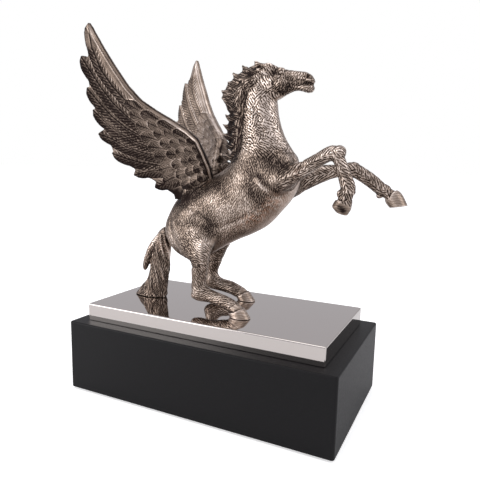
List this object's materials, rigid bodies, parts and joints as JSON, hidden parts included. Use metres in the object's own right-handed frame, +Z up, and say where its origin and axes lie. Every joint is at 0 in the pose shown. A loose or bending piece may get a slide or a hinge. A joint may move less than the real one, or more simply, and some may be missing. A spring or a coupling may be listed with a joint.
{
  "type": "figure trophy",
  "caption": "Rearing winged horse cast in antiqued silver, standing on its hind hooves and tail on a mirror-bright folded tray over a black rectangular block",
  "frame": {"origin": "middle of the underside of the felt pad", "axes": "+X along the block's long side, the way the horse faces; +Y to the horse's left; +Z up"},
  "size_m": [0.2117, 0.1242, 0.2438],
  "materials": {
    "felt": "dark green felt",
    "black_lacquer": "satin black lacquer on board",
    "mirror_nickel": "bright nickel plate on folded sheet",
    "fibre_board": "raw fibre board",
    "fasteners": "zinc plated steel",
    "antique_silver": "antique silver plate, darkened in the hollows and rubbed back on the ridges",
    "antique_silver_wing": "antique silver plate, darker than the body, with polished rims"
  },
  "bodies": {
    "root": {"felt_pad": "felt", "plinth_block": "black_lacquer", "mirror_tray": "mirror_nickel", "core_board": "fibre_board", "plinth_screw_1": "fasteners", "plinth_screw_2": "fasteners", "plinth_screw_3": "fasteners", "plinth_screw_4": "fasteners", "right_hoof_stud": "fasteners", "right_hoof_washer": "fasteners", "right_hoof_nut": "fasteners", "left_hoof_stud": "fasteners", "left_hoof_washer": "fasteners", "left_hoof_nut": "fasteners", "tail_stud": "fasteners", "tail_washer": "fasteners", "tail_nut": "fasteners", "body_casting": "antique_silver", "right_foreleg": "antique_silver", "left_foreleg": "antique_silver", "right_hind_leg": "antique_silver", "left_hind_leg": "antique_silver", "tail": "antique_silver", "right_wing": "antique_silver_wing", "left_wing": "antique_silver_wing", "right_wing_pin": "fasteners", "left_wing_pin": "fasteners"}
  },
  "joints": []
}
